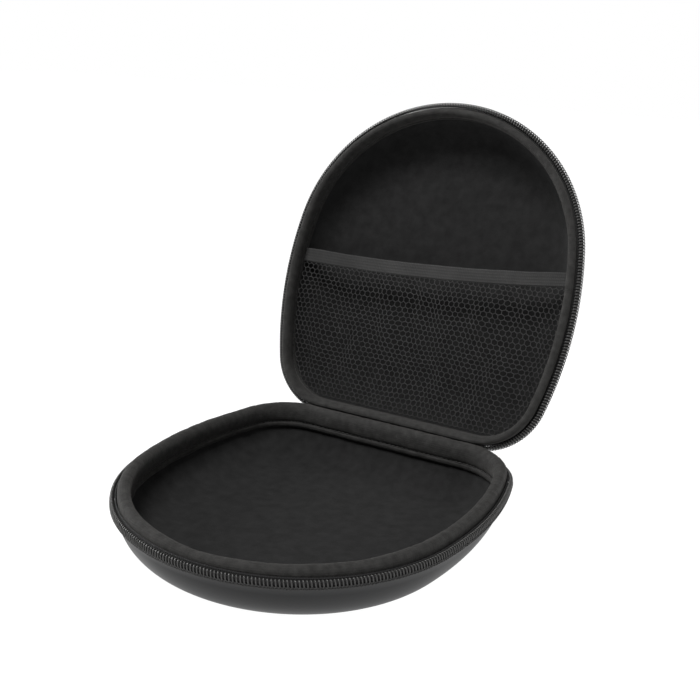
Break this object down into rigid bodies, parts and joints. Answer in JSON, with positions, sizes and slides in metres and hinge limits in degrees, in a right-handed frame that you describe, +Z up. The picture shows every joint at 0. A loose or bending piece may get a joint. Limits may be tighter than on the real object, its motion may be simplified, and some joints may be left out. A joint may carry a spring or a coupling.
{
  "type": "headphone carrying case",
  "caption": "Hard clamshell carrying case for headphones, with padded zip rims, a fabric hinge and a net pocket in the lid, shown open.",
  "frame": {"origin": "middle of the base's flat resting face", "axes": "+Z up, +X along the hinge to the right seen from the front, +Y to the back where the hinge is"},
  "size_m": [0.201, 0.2952, 0.2321],
  "materials": {
    "skin": "satin",
    "lining": "matte",
    "foam": "matte",
    "rim_knit": "matte",
    "zip_tape": "matte",
    "zip_coil": "satin",
    "hinge_fabric": "matte",
    "net": "matte",
    "elastic": "matte",
    "slider_metal": "gloss"
  },
  "bodies": {
    "base": {"base_shell": "skin", "base_lining": "lining", "base_rim_core": "foam", "base_rim_binding": "rim_knit", "base_zip_tape": "zip_tape", "base_zip_coil": "zip_coil", "base_zip_stops": "zip_coil", "hinge_outer_strip": "hinge_fabric", "hinge_inner_strip": "hinge_fabric"},
    "lid": {"lid_shell": "skin", "lid_lining": "lining", "lid_rim_core": "foam", "lid_rim_binding": "rim_knit", "lid_zip_tape": "zip_tape", "lid_zip_coil": "zip_coil", "lid_zip_stops": "zip_coil", "pocket_net": "net", "pocket_hem": "elastic"},
    "slider": {"zip_slider": "slider_metal"},
    "tab": {"pull_tab": "slider_metal"}
  },
  "joints": [
    {"name": "lid_hinge", "type": "hinge", "parent": "base", "child": "lid", "pos_m": [0, 0.105, 0.032], "axis": [1, 0, 0], "range_deg": [-72.5, 107.5], "deforming": ["hinge_outer_strip", "hinge_inner_strip"]},
    {"name": "slider_travel", "type": "hinge", "parent": "base", "child": "slider", "pos_m": [-0.0535, 0.0645, 0.032], "axis": [0, 0, 1], "range_deg": [0, 43]},
    {"name": "tab_swing", "type": "hinge", "parent": "slider", "child": "tab", "pos_m": [-0.07621, 0.1023, 0.0286], "axis": [0.8572, 0.515, 0], "range_deg": [-8, 120]}
  ]
}
